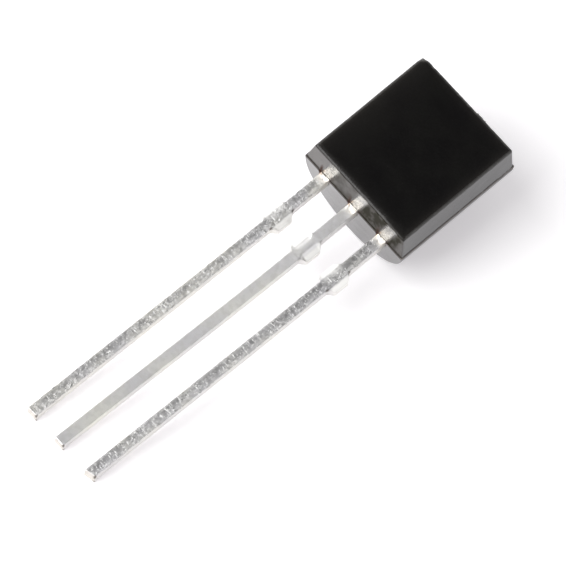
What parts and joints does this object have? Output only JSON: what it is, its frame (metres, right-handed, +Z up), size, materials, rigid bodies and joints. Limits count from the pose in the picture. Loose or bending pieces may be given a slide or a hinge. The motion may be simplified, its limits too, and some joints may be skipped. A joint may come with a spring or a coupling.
{
  "type": "to-92 transistor",
  "caption": "Small transistor in a black moulded body with a flat face and a round back, and straight tinned leads that show the trimmed ends of the dam bar.",
  "frame": {"origin": "middle of the bounding box at its base: the part lies on its round back and its lead tips, as it comes to rest, and z = 0 is the surface under it", "axes": "+Y runs from the lead tips to the top end of the body, +X from the emitter lead to the collector lead, +Z up; the flat face looks up and leans about 8 degrees towards the lead tips"},
  "size_m": [0.0044, 0.0162, 0.0039],
  "materials": {
    "epoxy": "moulded, fine satin grain",
    "tinned_lead": "dull tin plate, lightly pitted",
    "silicon": "polished",
    "die_attach": "silver-filled, dull",
    "bond_wire": "bright drawn gold"
  },
  "bodies": {
    "root": {"moulded_body": "epoxy", "emitter_lead": "tinned_lead", "base_lead": "tinned_lead", "collector_lead": "tinned_lead", "silicon_die": "silicon", "die_attach": "die_attach", "emitter_bond_wire": "bond_wire", "base_bond_wire": "bond_wire"}
  },
  "joints": []
}
